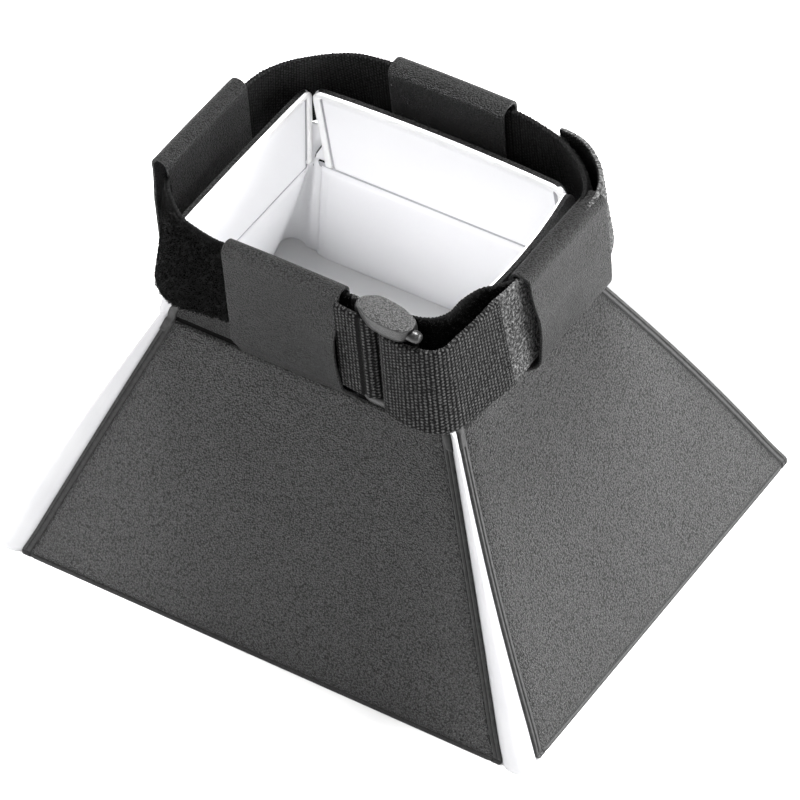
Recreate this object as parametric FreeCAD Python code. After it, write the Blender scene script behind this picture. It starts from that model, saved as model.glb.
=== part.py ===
import FreeCAD, Part
import math
import os

# A collapsible flash hood: four stiff slanted walls, a collar of four flaps above them, and a
# hook-and-loop strap that passes through four belt loops and a plastic ring round the collar.
# +Z is up the hood, from its wide end to its neck. +X lies along the long side.
# The origin is the middle of the wide end, which stands on the table at z = 0.

Vector = FreeCAD.Vector
UP = Vector(0, 0, 1)

# Driving dimensions in millimetres.
WIDE_LENGTH = 150.0
WIDE_DEPTH = 123.0
CREASE_LENGTH = 81.4
CREASE_DEPTH = 61.8
RIM_LENGTH = 73.8
RIM_DEPTH = 56.0
CREASE_HEIGHT = 67.0
RIM_HEIGHT = 94.2

# Walls: a leatherette cover outside, a stiff board and a white lining inside.
COVER_THICKNESS = 0.7
BOARD_THICKNESS = 1.0
LINING_THICKNESS = 0.5
EDGE_MARGIN = 2.6
HEM = 1.3
WIDE_CORNER_RADIUS = 5.0
CREASE_CORNER_RADIUS = 0.8
CORNER_GAP_WIDE = 4.9
CORNER_GAP_CREASE = 1.7
TABLE_SIZE = 400.0

# Collar flaps. The long flaps stand between the short ones.
FLAP_COVER_THICKNESS = 0.6
FLAP_BOARD_THICKNESS = 0.8
FLAP_LINING_THICKNESS = 0.4
FLAP_THICKNESS = FLAP_COVER_THICKNESS + FLAP_BOARD_THICKNESS + FLAP_LINING_THICKNESS
LONG_FLAP_GAP = 0.9
SHORT_FLAP_GAP = 0.5
FLAP_CORNER_RADIUS = 3.0
FLAP_BINDING_WIDTH = 1.9
FLAP_LIFT = 0.7
HINGE_STRIP_HEIGHT = 0.25
HINGE_STRIP_WIDTH = 1.2
HINGE_STRIP_LIFT = 0.19

# White gussets that join the walls at the corners. A slanted cover is thicker in a level section.
COVER_SLANT = 1.118
GUSSET_THICKNESS = 0.5
GUSSET_TUCK = 1.4
GUSSET_CLEARANCE = 0.05
GUSSET_BOW_WIDE = 2.2
GUSSET_BOW_CREASE = 0.3
GUSSET_FOOT = 0.3

# Strap, and the lines its runs follow seen from above.
STRAP_THICKNESS = 1.5
STRAP_BOTTOM = 76.0
STRAP_WIDTH = 25.0
STRAP_FRONT_Y = -32.6
STRAP_BACK_Y = 34.6
STRAP_LEFT_X = -43.0
STRAP_RIGHT_X = 41.7
INNER_LAYER_X = 40.6
TAIL_X = 42.2
HOOK_X = 43.5
ANCHOR_FOLD_RADIUS = 2.4
TAIL_FOLD_RADIUS = 2.5
TAIL_STANDOFF = 2.8
RING_PASS_GAP = 1.3

# Belt loops. Each loop's legs turn upright a little below the strap's lower edge.
LOOP_THICKNESS = 0.8
LOOP_WIDTH = 32.0
LOOP_FOOT = 68.3
LOOP_FOLD_RADIUS = 1.7
LOOP_KNEE_RADIUS = 4.0
LOOP_INNER_KNEE_DROP = 0.8
LOOP_OUTER_KNEE_DROP = 1.8
LOOP_FLAP_GAP = 0.05
LOOP_FOOT_GAP = 0.5

# Plastic ring that the strap's two ends fold round.
RING_LEFT_BAR_X = 20.8
RING_RIGHT_BAR_X = 34.0
RING_Y = -34.6
RING_BAR_RADIUS = 1.5
RING_TOP_RADIUS = 2.7
RING_TOP_OVERHANG = 3.2
RING_TOP_FILLET = 1.2
RING_BAR_FILLET = 1.3
RING_WINDOW_CLEARANCE = 0.75


class Side:
    """One of the four sides, seen from outside: its outward and sideways directions and reaches."""

    def __init__(self, name, out, reaches, half_widths):
        self.name = name
        self.out = out
        self.along = UP.cross(out)
        self.wide_reach, self.crease_reach, self.rim_reach = reaches
        self.wide_half, self.crease_half, self.rim_half = half_widths


LONG_REACHES = (WIDE_DEPTH / 2, CREASE_DEPTH / 2, RIM_DEPTH / 2)
SHORT_REACHES = (WIDE_LENGTH / 2, CREASE_LENGTH / 2, RIM_LENGTH / 2)
SIDES = [
    Side("front", Vector(0, -1, 0), LONG_REACHES, SHORT_REACHES),
    Side("right", Vector(1, 0, 0), SHORT_REACHES, LONG_REACHES),
    Side("back", Vector(0, 1, 0), LONG_REACHES, SHORT_REACHES),
    Side("left", Vector(-1, 0, 0), SHORT_REACHES, LONG_REACHES),
]
FRONT, RIGHT, BACK, LEFT = SIDES


def save(shape, node):
    """Write one node as a STEP file."""
    shape.exportStep("parts/" + node + ".step")


def unit(vector):
    """The direction of a vector."""
    return vector * (1.0 / vector.Length)


def rounded_wire(points, radii):
    """A closed wire through the points, with an arc of each radius at its corner."""
    starts = []
    ends = []
    arcs = []
    count = len(points)
    for i in range(count):
        corner = points[i]
        before = unit(points[i - 1] - corner)
        after = unit(points[(i + 1) % count] - corner)
        if radii[i] == 0:
            starts.append(corner)
            ends.append(corner)
            arcs.append(None)
            continue
        half_angle = before.getAngle(after) / 2
        inward = unit(before + after)
        centre = corner + inward * (radii[i] / math.sin(half_angle))
        start = corner + before * (radii[i] / math.tan(half_angle))
        end = corner + after * (radii[i] / math.tan(half_angle))
        starts.append(start)
        ends.append(end)
        arcs.append(Part.Arc(start, centre - inward * radii[i], end))
    edges = []
    for i in range(count):
        if arcs[i]:
            edges.append(arcs[i].toShape())
        following = starts[(i + 1) % count]
        if ends[i].distanceToPoint(following) > 1e-6:
            edges.append(Part.LineSegment(ends[i], following).toShape())
    return Part.Wire(Part.__sortEdges__(edges))


def band_outline(path, radii, thickness):
    """The outline of a strip that follows a flat path of (a, b) points with rounded bends.

    Returns (a, b, radius) for each corner of the outline, down one face and back up the other.
    """
    half = thickness / 2
    faces = []
    for side in (1, -1):
        face = []
        for i, (a, b) in enumerate(path):
            if i == 0:
                before = None
            else:
                before = unit(Vector(a - path[i - 1][0], b - path[i - 1][1], 0))
            if i == len(path) - 1:
                after = before
            else:
                after = unit(Vector(path[i + 1][0] - a, path[i + 1][1] - b, 0))
            if before is None:
                before = after
            turn = before.cross(after).z
            mitre = unit(before + after)
            normal = Vector(-mitre.y, mitre.x, 0)
            reach = side * half / mitre.dot(after)
            bend = radii[i] - side * half if turn > 0 else radii[i] + side * half
            if radii[i] == 0:
                bend = 0
            face.append((a + normal.x * reach, b + normal.y * reach, bend))
        faces.append(face)
    return faces[0] + faces[1][::-1]


def plan_band(path, radii, thickness, bottom, height):
    """A strip that stands on edge and follows a path seen from above."""
    outline = band_outline(path, radii, thickness)
    points = [Vector(a, b, bottom) for a, b, _ in outline]
    wire = rounded_wire(points, [radius for _, _, radius in outline])
    return Part.Face(wire).extrude(UP * height)


def side_band(side, path, radii, thickness, centre, width):
    """A strip that follows a path of (reach, height) points, as wide as given along the side."""
    outline = band_outline(path, radii, thickness)
    edge = side.along * (centre - width / 2)
    points = [side.out * a + UP * b + edge for a, b, _ in outline]
    wire = rounded_wire(points, [radius for _, _, radius in outline])
    return Part.Face(wire).extrude(side.along * width)


class Wall:
    """A flat slanted sheet's frame: its lower outer line, the way up the slope and its normal."""

    def __init__(self, side, lower, upper):
        self.foot = side.out * lower[0] + UP * lower[1]
        top = side.out * upper[0] + UP * upper[1]
        self.length = (top - self.foot).Length
        self.slope = unit(top - self.foot)
        self.along = side.along
        self.normal = self.along.cross(self.slope)

    def sheet(self, outline, radii, depth, thickness):
        """A layer that starts at a depth under the outer face, from (across, up the slope) points."""
        points = []
        for across, rise in outline:
            points.append(self.foot + self.along * across + self.slope * rise - self.normal * depth)
        return Part.Face(rounded_wire(points, radii)).extrude(self.normal * -thickness)


def tapered(lower_half, upper_half, bottom, top):
    """The four corners of a symmetrical tapered outline."""
    return [(-lower_half, bottom), (lower_half, bottom), (upper_half, top), (-upper_half, top)]


def make_panel(side):
    """The slanted wall below the crease: cover, board and lining."""
    wall = Wall(side, (side.wide_reach, 0), (side.crease_reach, CREASE_HEIGHT))
    lower = side.wide_half - CORNER_GAP_WIDE
    upper = side.crease_half - CORNER_GAP_CREASE
    corner = Vector(-TABLE_SIZE / 2, -TABLE_SIZE / 2, -TABLE_SIZE)
    table = Part.makeBox(TABLE_SIZE, TABLE_SIZE, TABLE_SIZE, corner)
    radii = [WIDE_CORNER_RADIUS, WIDE_CORNER_RADIUS, CREASE_CORNER_RADIUS, CREASE_CORNER_RADIUS]

    cover = wall.sheet(tapered(lower, upper, 0, wall.length), radii, 0, COVER_THICKNESS)
    save(cover.cut(table), "cover_" + side.name)

    inner = [half - EDGE_MARGIN for half in (lower, upper)]
    board = wall.sheet(tapered(*inner, HEM, wall.length - HEM), radii, COVER_THICKNESS, BOARD_THICKNESS)
    save(board, "board_" + side.name)

    depth = COVER_THICKNESS + BOARD_THICKNESS
    lining = wall.sheet(tapered(*inner, 0, wall.length), radii, depth, LINING_THICKNESS)
    save(lining.cut(table), "lining_" + side.name)


def flap_halves(side):
    """Half the width of a flap at the crease and at the rim."""
    if side in (FRONT, BACK):
        inset = FLAP_THICKNESS + LONG_FLAP_GAP
    else:
        inset = SHORT_FLAP_GAP
    return side.crease_half - inset, side.rim_half - inset


def make_flap(side):
    """The upright flap above the crease: cover, board, lining and the binding round its edge."""
    wall = Wall(side, (side.crease_reach, CREASE_HEIGHT), (side.rim_reach, RIM_HEIGHT))
    lower, upper = flap_halves(side)
    radii = [0, 0, FLAP_CORNER_RADIUS, FLAP_CORNER_RADIUS]
    full = tapered(lower, upper, FLAP_LIFT, wall.length)

    cover = wall.sheet(full, radii, 0, FLAP_COVER_THICKNESS)
    save(cover, "flap_cover_" + side.name)

    board = wall.sheet(full, radii, FLAP_COVER_THICKNESS, FLAP_BOARD_THICKNESS)
    save(board, "flap_board_" + side.name)

    depth = FLAP_COVER_THICKNESS + FLAP_BOARD_THICKNESS
    inner_corner = FLAP_CORNER_RADIUS - FLAP_BINDING_WIDTH
    inner_radii = [0, 0, inner_corner, inner_corner]
    inner = tapered(
        lower - FLAP_BINDING_WIDTH,
        upper - FLAP_BINDING_WIDTH,
        FLAP_LIFT,
        wall.length - FLAP_BINDING_WIDTH,
    )
    lining = wall.sheet(inner, inner_radii, depth, FLAP_LINING_THICKNESS)
    save(lining, "flap_lining_" + side.name)

    binding = wall.sheet(full, radii, depth, FLAP_LINING_THICKNESS).cut(lining)
    save(binding, "flap_binding_" + side.name)


def make_hinge_strip(side):
    """The sewn strip of the living hinge, lying in the crease between wall and flap."""
    half = flap_halves(side)[0] - FLAP_CORNER_RADIUS
    middle = side.crease_reach - FLAP_THICKNESS / 2
    height = CREASE_HEIGHT + HINGE_STRIP_LIFT
    path = [(middle - HINGE_STRIP_WIDTH / 2, height), (middle + HINGE_STRIP_WIDTH / 2, height)]
    strip = side_band(side, path, [0, 0], HINGE_STRIP_HEIGHT, 0, 2 * half)
    save(strip, "hinge_strip_" + side.name)


def gusset_section(long_side, short_side, share, gap, bow, height):
    """One level section through a corner gusset, tucked under the covers of both walls."""
    long_reach = long_side.wide_reach + (long_side.crease_reach - long_side.wide_reach) * share
    short_reach = short_side.wide_reach + (short_side.crease_reach - short_side.wide_reach) * share
    sign_x = short_side.out.x
    sign_y = long_side.out.y
    under = COVER_THICKNESS * COVER_SLANT + GUSSET_CLEARANCE
    outer = [
        (short_reach - gap - GUSSET_TUCK, long_reach - under),
        (short_reach - gap, long_reach - under),
        (short_reach - under, long_reach - gap),
        (short_reach - under, long_reach - gap - GUSSET_TUCK),
    ]
    inner = [
        (outer[3][0] - GUSSET_THICKNESS, outer[3][1]),
        (outer[2][0] - GUSSET_THICKNESS, outer[2][1]),
        (outer[1][0], outer[1][1] - GUSSET_THICKNESS),
        (outer[0][0], outer[0][1] - GUSSET_THICKNESS),
    ]

    def place(point):
        return Vector(sign_x * point[0], sign_y * point[1], height)

    def bowed(first, last, thickness):
        shift = (bow - thickness) / math.sqrt(2)
        return place(((first[0] + last[0]) / 2 + shift, (first[1] + last[1]) / 2 + shift))

    crown = Part.Arc(place(outer[1]), bowed(outer[1], outer[2], 0), place(outer[2]))
    hollow = Part.Arc(place(inner[1]), bowed(inner[1], inner[2], GUSSET_THICKNESS / 2), place(inner[2]))
    edges = [
        Part.LineSegment(place(outer[0]), place(outer[1])).toShape(),
        crown.toShape(),
        Part.LineSegment(place(outer[2]), place(outer[3])).toShape(),
        Part.LineSegment(place(outer[3]), place(inner[0])).toShape(),
        Part.LineSegment(place(inner[0]), place(inner[1])).toShape(),
        hollow.toShape(),
        Part.LineSegment(place(inner[2]), place(inner[3])).toShape(),
        Part.LineSegment(place(inner[3]), place(outer[0])).toShape(),
    ]
    return Part.Wire(edges)


def make_gusset(long_side, short_side, node):
    """A white strip that joins two walls at a corner, wider and more bowed at the wide end."""
    foot = gusset_section(
        long_side, short_side, GUSSET_FOOT / CREASE_HEIGHT, CORNER_GAP_WIDE, GUSSET_BOW_WIDE, GUSSET_FOOT
    )
    head_height = CREASE_HEIGHT - GUSSET_TUCK
    head = gusset_section(
        long_side,
        short_side,
        head_height / CREASE_HEIGHT,
        CORNER_GAP_CREASE,
        GUSSET_BOW_CREASE,
        head_height,
    )
    save(Part.makeLoft([foot, head], True, True), node)


def make_belt_loop(side, centre, inner_reach, outer_reach, top_height):
    """A leatherette strip sewn into the crease: up inside the strap, over it and down outside."""
    half = LOOP_THICKNESS / 2
    inner_foot = side.crease_reach + half + LOOP_FLAP_GAP
    outer_foot = inner_foot + LOOP_THICKNESS + LOOP_FOOT_GAP
    top = top_height - half
    path = [
        (inner_foot, LOOP_FOOT),
        (inner_reach, STRAP_BOTTOM - LOOP_INNER_KNEE_DROP),
        (inner_reach, top),
        (outer_reach, top),
        (outer_reach, STRAP_BOTTOM - LOOP_OUTER_KNEE_DROP),
        (outer_foot, LOOP_FOOT),
    ]
    radii = [0, LOOP_KNEE_RADIUS, LOOP_FOLD_RADIUS, LOOP_FOLD_RADIUS, LOOP_KNEE_RADIUS, 0]
    save(side_band(side, path, radii, LOOP_THICKNESS, centre, LOOP_WIDTH), "belt_loop_" + side.name)


def make_strap_piece(node, path, radii):
    """One length of the 25 mm strap, standing on edge round the collar."""
    save(plan_band(path, radii, STRAP_THICKNESS, STRAP_BOTTOM, STRAP_WIDTH), node)


def make_front_strap():
    """The sewn end that folds round the ring, and the run in front of the collar."""
    back_leg_y = RING_Y + ANCHOR_FOLD_RADIUS
    front_leg_y = RING_Y - ANCHOR_FOLD_RADIUS
    fold_x = RING_LEFT_BAR_X + ANCHOR_FOLD_RADIUS
    bend = ANCHOR_FOLD_RADIUS - 0.05
    make_strap_piece(
        "strap_front_run",
        [(-19, STRAP_FRONT_Y), (14, STRAP_FRONT_Y), (15.5, back_leg_y), (16.5, back_leg_y)],
        [0, 2, 2, 0],
    )
    make_strap_piece(
        "strap_anchor_fold",
        [(16.6, back_leg_y), (fold_x, back_leg_y), (fold_x, front_leg_y), (17.2, front_leg_y)],
        [0, bend, bend, 0],
    )


def make_strap_band():
    """The single layer of strap round the left, back and right of the collar."""
    make_strap_piece(
        "strap_left_corner",
        [(-19.1, STRAP_FRONT_Y), (-43.8, -36.0), (STRAP_LEFT_X, -21.1)],
        [0, 12, 0],
    )
    make_strap_piece("strap_left_run", [(STRAP_LEFT_X, -21), (STRAP_LEFT_X, 11)], [0, 0])
    make_strap_piece(
        "strap_back_corner",
        [(STRAP_LEFT_X, 11.1), (-43.6, 35.2), (-18.1, STRAP_BACK_Y)],
        [0, 13, 0],
    )
    make_strap_piece("strap_back_run", [(-18, STRAP_BACK_Y), (20, STRAP_BACK_Y)], [0, 0])
    make_strap_piece(
        "strap_right_corner",
        [(20.1, STRAP_BACK_Y), (42.6, 36.2), (STRAP_RIGHT_X, 24.1)],
        [0, 10, 0],
    )
    make_strap_piece("strap_right_run", [(STRAP_RIGHT_X, 24), (STRAP_RIGHT_X, -8)], [0, 0])


def make_strap_return():
    """The strap's way through the ring and back: inner layer, tail, hook section and free tip."""
    back_leg_y = RING_Y + ANCHOR_FOLD_RADIUS
    turn_x = RING_RIGHT_BAR_X - RING_BAR_RADIUS - RING_PASS_GAP
    tail_y = RING_Y - TAIL_STANDOFF
    join_x = RING_RIGHT_BAR_X + RING_BAR_RADIUS
    make_strap_piece(
        "strap_front_corner",
        [
            (STRAP_RIGHT_X, -8.1),
            (STRAP_RIGHT_X, -9.5),
            (INNER_LAYER_X, -13.6),
            (INNER_LAYER_X, back_leg_y),
            (join_x + 0.1, back_leg_y),
        ],
        [0, 2, 4, 3, 0],
    )
    make_strap_piece(
        "strap_tail",
        [(join_x, back_leg_y), (turn_x, back_leg_y), (turn_x, tail_y), (TAIL_X, tail_y), (TAIL_X, -13.8)],
        [0, TAIL_FOLD_RADIUS, TAIL_FOLD_RADIUS, 8.2, 0],
    )
    make_strap_piece("hook_pad", [(HOOK_X + 0.3, -15.0), (HOOK_X, -7), (HOOK_X, 24.6)], [0, 12, 0])
    make_strap_piece("strap_tip", [(HOOK_X, 25.0), (45.2, 38.4), (33.5, 38.2)], [0, 9.5, 0])


def make_ring():
    """The plastic ring: a rounded frame with a fat grip bar along its top."""
    bottom = STRAP_BOTTOM - RING_WINDOW_CLEARANCE
    top = STRAP_BOTTOM + STRAP_WIDTH + RING_WINDOW_CLEARANCE
    bar = 2 * RING_BAR_RADIUS
    inner_width = RING_RIGHT_BAR_X - RING_LEFT_BAR_X - bar
    corner = Vector(RING_LEFT_BAR_X - RING_BAR_RADIUS, RING_Y - RING_BAR_RADIUS, bottom - bar)
    frame = Part.makeBox(inner_width + 2 * bar, bar, top - bottom + 2 * bar, corner)
    window = Part.makeBox(inner_width, bar, top - bottom, corner + Vector(bar, 0, bar))
    frame = frame.cut(window)
    frame = frame.makeFillet(RING_BAR_FILLET, frame.Edges)
    grip_length = RING_RIGHT_BAR_X - RING_LEFT_BAR_X + 2 * RING_TOP_OVERHANG
    grip = Part.makeBox(
        grip_length,
        2 * RING_TOP_RADIUS,
        2 * RING_TOP_RADIUS,
        Vector(RING_LEFT_BAR_X - RING_TOP_OVERHANG, RING_Y - RING_TOP_RADIUS, top),
    )
    grip = grip.makeFillet(RING_TOP_FILLET, grip.Edges)
    save(frame.fuse(grip), "slide_ring")


os.makedirs("parts", exist_ok=True)
for one_side in SIDES:
    make_panel(one_side)
    make_flap(one_side)
    make_hinge_strip(one_side)
make_gusset(FRONT, RIGHT, "gusset_front")
make_gusset(FRONT, LEFT, "gusset_left")
make_gusset(BACK, LEFT, "gusset_back")
make_gusset(BACK, RIGHT, "gusset_right")
make_belt_loop(FRONT, centre=-1.0, inner_reach=31.0, outer_reach=35.3, top_height=103.2)
make_belt_loop(RIGHT, centre=8.0, inner_reach=40.15, outer_reach=45.1, top_height=103.4)
make_belt_loop(BACK, centre=0.0, inner_reach=31.8, outer_reach=37.3, top_height=105.5)
make_belt_loop(LEFT, centre=5.0, inner_reach=41.2, outer_reach=45.2, top_height=106.0)
make_front_strap()
make_strap_band()
make_strap_return()
make_ring()
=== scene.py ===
import bmesh
import bpy
import math
import random
from mathutils import Matrix, Vector, noise


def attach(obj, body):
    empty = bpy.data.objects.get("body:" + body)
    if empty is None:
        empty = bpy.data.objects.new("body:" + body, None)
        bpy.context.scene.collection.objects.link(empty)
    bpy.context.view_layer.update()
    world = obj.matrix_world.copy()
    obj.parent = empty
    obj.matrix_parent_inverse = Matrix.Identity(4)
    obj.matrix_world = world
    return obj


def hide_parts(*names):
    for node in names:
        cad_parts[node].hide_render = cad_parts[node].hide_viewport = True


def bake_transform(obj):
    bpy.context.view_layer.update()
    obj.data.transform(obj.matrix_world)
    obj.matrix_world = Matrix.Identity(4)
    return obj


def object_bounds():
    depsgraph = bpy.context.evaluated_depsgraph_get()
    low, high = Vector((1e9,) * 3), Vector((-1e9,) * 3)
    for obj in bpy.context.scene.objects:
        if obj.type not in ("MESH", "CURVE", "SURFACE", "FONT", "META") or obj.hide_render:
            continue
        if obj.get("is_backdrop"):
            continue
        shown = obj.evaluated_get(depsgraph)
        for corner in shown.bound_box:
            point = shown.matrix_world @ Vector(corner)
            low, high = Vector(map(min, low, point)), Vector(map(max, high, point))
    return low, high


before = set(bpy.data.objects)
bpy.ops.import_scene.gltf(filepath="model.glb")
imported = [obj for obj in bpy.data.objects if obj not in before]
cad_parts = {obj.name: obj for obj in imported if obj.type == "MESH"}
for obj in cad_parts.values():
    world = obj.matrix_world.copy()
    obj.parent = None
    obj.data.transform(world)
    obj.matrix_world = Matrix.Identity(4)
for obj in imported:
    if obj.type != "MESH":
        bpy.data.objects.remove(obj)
CAD_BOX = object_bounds()

# All lengths below are millimetres in the part's frame; MM turns them into metres.
MM = 0.001
UP = Vector((0, 0, 1))

# Walls.
CREASE_HEIGHT = 67.0
RIM_HEIGHT = 94.2
COVER_THICKNESS = 0.7
WALL_THICKNESS = 2.2
WALL_CORNER_RADIUS = 1.8
FOOT_FLARE = 0.5
FOOT_FLARE_HEIGHT = 9.0
LINING_INSETS = (3.8, 2.4)

# Flaps.
FLAP_COVER_THICKNESS = 0.6
FLAP_LIFT = 0.9
FLAP_CORNER_RADIUS = 3.0
FLAP_TAPER_HEIGHT = 27.0
FLAP_SPREAD_HEIGHT = 9.0
FLAP_BOWS = {"front": 0.3, "right": 2.9, "back": 1.1, "left": 0.3}
BINDING_WIDTH = 1.9
BINDING_GAP = 0.35

# Gussets. The leans are how far the long and the short sides' flaps come in per mm of height.
GUSSET_TOP = 79.0
GUSSET_THICKNESS = 0.45
GUSSET_SINK = 0.83
BULGE_SHARE = 0.7
LONG_LEAN = 0.107
SHORT_LEAN = 0.14

# Belt loops.
LOOP_WIDTH = 32.0
LOOP_HALF_THICKNESS = 0.4

# Strap.
STRAP_BOTTOM = 76.0
STRAP_MIDDLE = 88
STRAP_TOP = 101.0
STRAP_THICKNESS = 1.5


class Side:
    """One of the four sides: its outward and sideways directions, reaches and widths."""

    def __init__(self, name, out, sizes, flap_body):
        self.name = name
        self.out = Vector(out)
        self.along = UP.cross(self.out)
        reaches, self.wall_halves, self.flap_halves, self.foot_spread, self.swell = sizes
        self.wide_reach, self.crease_reach, self.rim_reach = reaches
        self.body = "panel_" + name
        self.flap_body = flap_body

    def wall_half(self, share):
        """Half the wall's width at a share of the way from its foot to the crease."""
        return lerp(*self.wall_halves, share) + self.swell * math.sin(math.pi * clamp(share))

    def flap_half(self, rise):
        """Half the flap's width at a distance up from the crease."""
        return lerp(*self.flap_halves, min(1.0, rise / FLAP_TAPER_HEIGHT))

    def cover_half(self, rise):
        """Half the flap cover's width, which spreads to the wall's at its foot."""
        spread = profile([(0.0, self.foot_spread), (FLAP_SPREAD_HEIGHT, 0.0)], rise)
        return self.flap_half(rise) + spread


# Reaches at the foot, the crease and the rim, the wall's and the flap's half widths from bottom to top,
# how far the flap's cover spreads at its foot, and how far the wall's side edges swell.
LONG = ((61.5, 30.9, 28.0), (68.4, 39.0), (35.2, 34.9), 3.6, 0.2)
SHORT = ((75.0, 40.7, 36.9), (55.5, 29.2), (29.4, 27.4), 0.0, 1.3)
SIDES = {
    "front": Side("front", (0, -1, 0), LONG, "flap_front"),
    "right": Side("right", (1, 0, 0), SHORT, "panel_right"),
    "back": Side("back", (0, 1, 0), LONG, "flap_back"),
    "left": Side("left", (-1, 0, 0), SHORT, "panel_left"),
}


def lerp(a, b, t):
    """The value a share t of the way from a to b."""
    return a + (b - a) * t


def clamp(t):
    """The value kept between 0 and 1."""
    return max(0.0, min(1.0, t))


def profile(points, x):
    """A smooth-stepped curve through (x, value) points."""
    if x <= points[0][0]:
        return points[0][1]
    for (x0, y0), (x1, y1) in zip(points, points[1:]):
        if x <= x1:
            t = (x - x0) / (x1 - x0)
            return lerp(y0, y1, t * t * (3 - 2 * t))
    return points[-1][1]


class Plane:
    """A slanted sheet's frame: its lower outer line, the way up the slope and its normal."""

    def __init__(self, side, lower, upper):
        self.foot = side.out * lower[0] + UP * lower[1]
        top = side.out * upper[0] + UP * upper[1]
        self.length = (top - self.foot).length
        self.slope = (top - self.foot).normalized()
        self.along = side.along
        self.normal = self.along.cross(self.slope)

    def point(self, across, rise, depth):
        """A point across the sheet, up its slope and at a depth under its outer face."""
        return self.foot + self.along * across + self.slope * rise - self.normal * depth


def wall_plane(side):
    """The outer face of a side's wall."""
    return Plane(side, (side.wide_reach, 0), (side.crease_reach, CREASE_HEIGHT))


def flap_plane(side):
    """The outer face of a side's flap."""
    return Plane(side, (side.crease_reach, CREASE_HEIGHT), (side.rim_reach, RIM_HEIGHT))


# ---------------- materials


def node_material(name):
    """A new material with its principled shader, node tree and object coordinates."""
    material = bpy.data.materials.new(name)
    material.use_nodes = True
    tree = material.node_tree
    shader = tree.nodes["Principled BSDF"]
    coordinates = tree.nodes.new("ShaderNodeTexCoord")
    return material, tree, shader, coordinates.outputs["Object"]


def add_noise(tree, vector, scale, detail=2.0, roughness=0.5):
    """A noise texture's value output at a scale per metre."""
    texture = tree.nodes.new("ShaderNodeTexNoise")
    texture.inputs["Scale"].default_value = scale
    texture.inputs["Detail"].default_value = detail
    texture.inputs["Roughness"].default_value = roughness
    tree.links.new(vector, texture.inputs["Vector"])
    return texture.outputs["Fac"]


def add_cells(tree, vector, scale):
    """A cell texture's distance output at a scale per metre."""
    texture = tree.nodes.new("ShaderNodeTexVoronoi")
    texture.inputs["Scale"].default_value = scale
    tree.links.new(vector, texture.inputs["Vector"])
    return texture.outputs["Distance"]


def add_math(tree, operation, first, second):
    """A math node of two inputs, each a socket or a number."""
    node = tree.nodes.new("ShaderNodeMath")
    node.operation = operation
    for socket, value in zip(node.inputs, (first, second)):
        if isinstance(value, (int, float)):
            socket.default_value = value
        else:
            tree.links.new(value, socket)
    return node.outputs[0]


def add_range(tree, value, low, high, from_low=0.0, from_high=1.0):
    """The value mapped from one range to another."""
    node = tree.nodes.new("ShaderNodeMapRange")
    node.inputs["From Min"].default_value = from_low
    node.inputs["From Max"].default_value = from_high
    node.inputs["To Min"].default_value = low
    node.inputs["To Max"].default_value = high
    tree.links.new(value, node.inputs["Value"])
    return node.outputs["Result"]


def add_ramp(tree, value, stops):
    """A colour ramp from (position, colour) stops."""
    node = tree.nodes.new("ShaderNodeValToRGB")
    elements = node.color_ramp.elements
    while len(elements) < len(stops):
        elements.new(0.5)
    for element, (position, colour) in zip(elements, stops):
        element.position = position
        element.color = (*colour, 1.0)
    tree.links.new(value, node.inputs["Fac"])
    return node.outputs["Color"]


def add_bump(tree, shader, height, distance):
    """Bump of a height at a distance in metres, on the shader's normal."""
    node = tree.nodes.new("ShaderNodeBump")
    node.inputs["Strength"].default_value = 1.0
    node.inputs["Distance"].default_value = distance
    tree.links.new(height, node.inputs["Height"])
    tree.links.new(node.outputs["Normal"], shader.inputs["Normal"])


def grey(value):
    """A neutral grey."""
    return (value, value, value)


def leather_material(name, dark, light, grain, depth, rough_low, rough_high, gloss):
    """Grained black synthetic leather: pebbles of the grain's scale with fine creases between. Its colour
    follows the grain's height, painted shade in the creases and painted highlight on the pebble tops, over a
    broad random tone.
    """
    material, tree, shader, vector = node_material(name)
    cells = add_cells(tree, vector, grain)
    fine = add_noise(tree, vector, grain * 1.3, 3.0, 0.65)
    broad = add_noise(tree, vector, 60.0, 3.0, 0.6)
    height = add_math(tree, "ADD", add_math(tree, "MULTIPLY", cells, -0.9), fine)
    tone = add_math(tree, "ADD", height, add_math(tree, "MULTIPLY", broad, 0.12))
    tone = add_math(tree, "ADD", tone, 0.3)
    middle = 0.62 * dark + 0.38 * light
    # The ramp runs from near black on low grain to light on high grain: painted shade in the creases and
    # painted highlight on the pebbles.
    colour = add_ramp(tree, tone, [(0.12, grey(dark)), (0.42, grey(middle)), (0.85, grey(light))])
    tree.links.new(colour, shader.inputs["Base Color"])
    tree.links.new(add_range(tree, fine, rough_high, rough_low, 0.3, 0.7), shader.inputs["Roughness"])
    shader.inputs["Specular IOR Level"].default_value = gloss
    add_bump(tree, shader, height, depth)
    return material


def white_material(name, dark, light, grain, depth, roughness, translucency=0.0):
    """White coated cloth with a faint weave and slight greying."""
    material, tree, shader, vector = node_material(name)
    weave = add_noise(tree, vector, grain, 2.0)
    cloud = add_noise(tree, vector, 45.0, 3.0)
    colour = add_ramp(tree, cloud, [(0.3, dark), (0.7, light)])
    tree.links.new(colour, shader.inputs["Base Color"])
    tree.links.new(add_range(tree, weave, roughness - 0.08, roughness + 0.08), shader.inputs["Roughness"])
    add_bump(tree, shader, weave, depth)
    if translucency:
        shader.inputs["Subsurface Weight"].default_value = translucency
        shader.inputs["Subsurface Radius"].default_value = (0.004, 0.004, 0.004)
        shader.inputs["Subsurface Scale"].default_value = 1.0
    return material


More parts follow.
